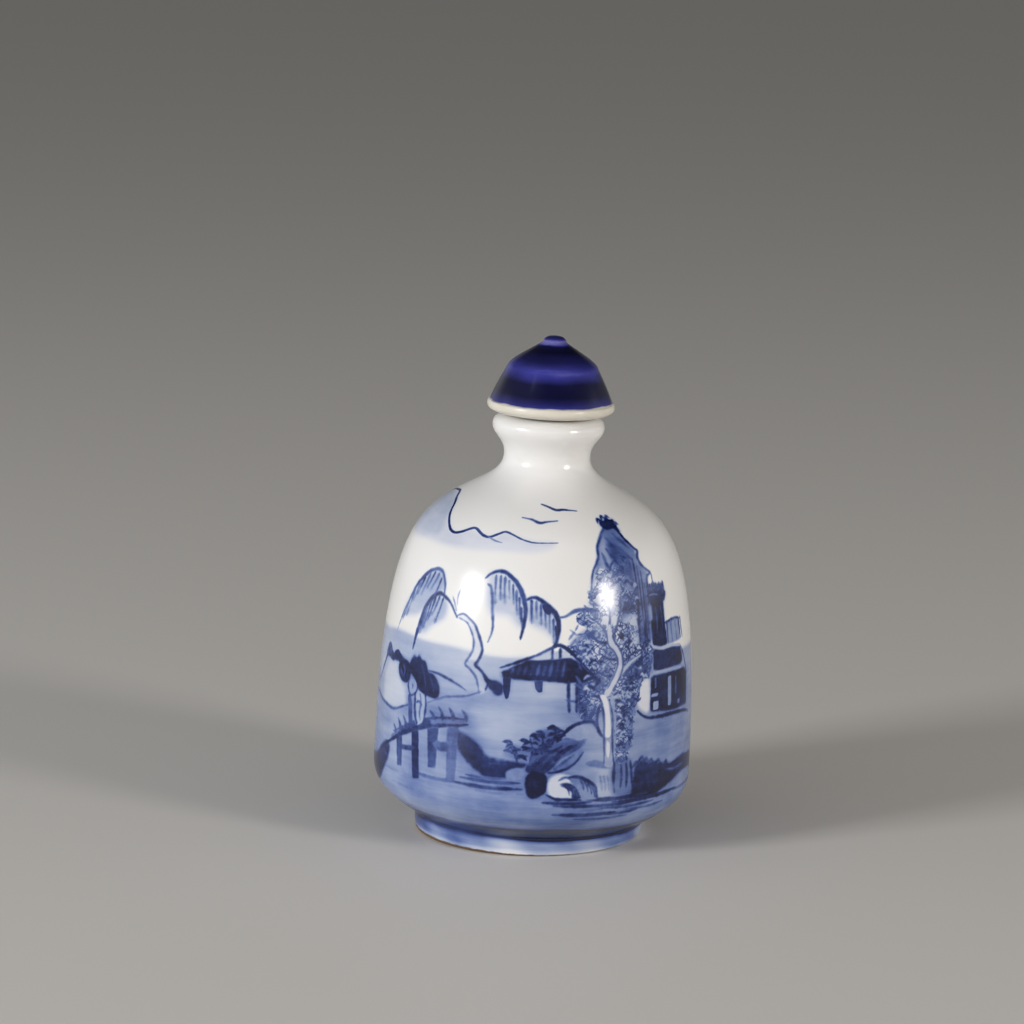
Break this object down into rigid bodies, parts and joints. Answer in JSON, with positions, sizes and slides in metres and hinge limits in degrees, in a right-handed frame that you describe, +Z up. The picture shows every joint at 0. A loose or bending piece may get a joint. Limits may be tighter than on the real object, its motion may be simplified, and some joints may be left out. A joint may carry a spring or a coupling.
{
  "type": "snuff bottle",
  "caption": "Hollow porcelain snuff bottle with a full belly, sloping shoulder, waisted neck, ground foot ring and blue painted landscape, under a cobalt dome stopper.",
  "frame": {"origin": "on the standing plane, under the middle of the bottle's outline", "axes": "+Z up; the bottle's axis leans 1.5 degrees towards +X; the main painted view faces -Y"},
  "size_m": [0.0482, 0.0482, 0.0761],
  "materials": {
    "painted_porcelain": "polished",
    "cobalt_porcelain": "polished"
  },
  "bodies": {
    "root": {"bottle": "painted_porcelain", "stopper": "cobalt_porcelain"}
  },
  "joints": []
}
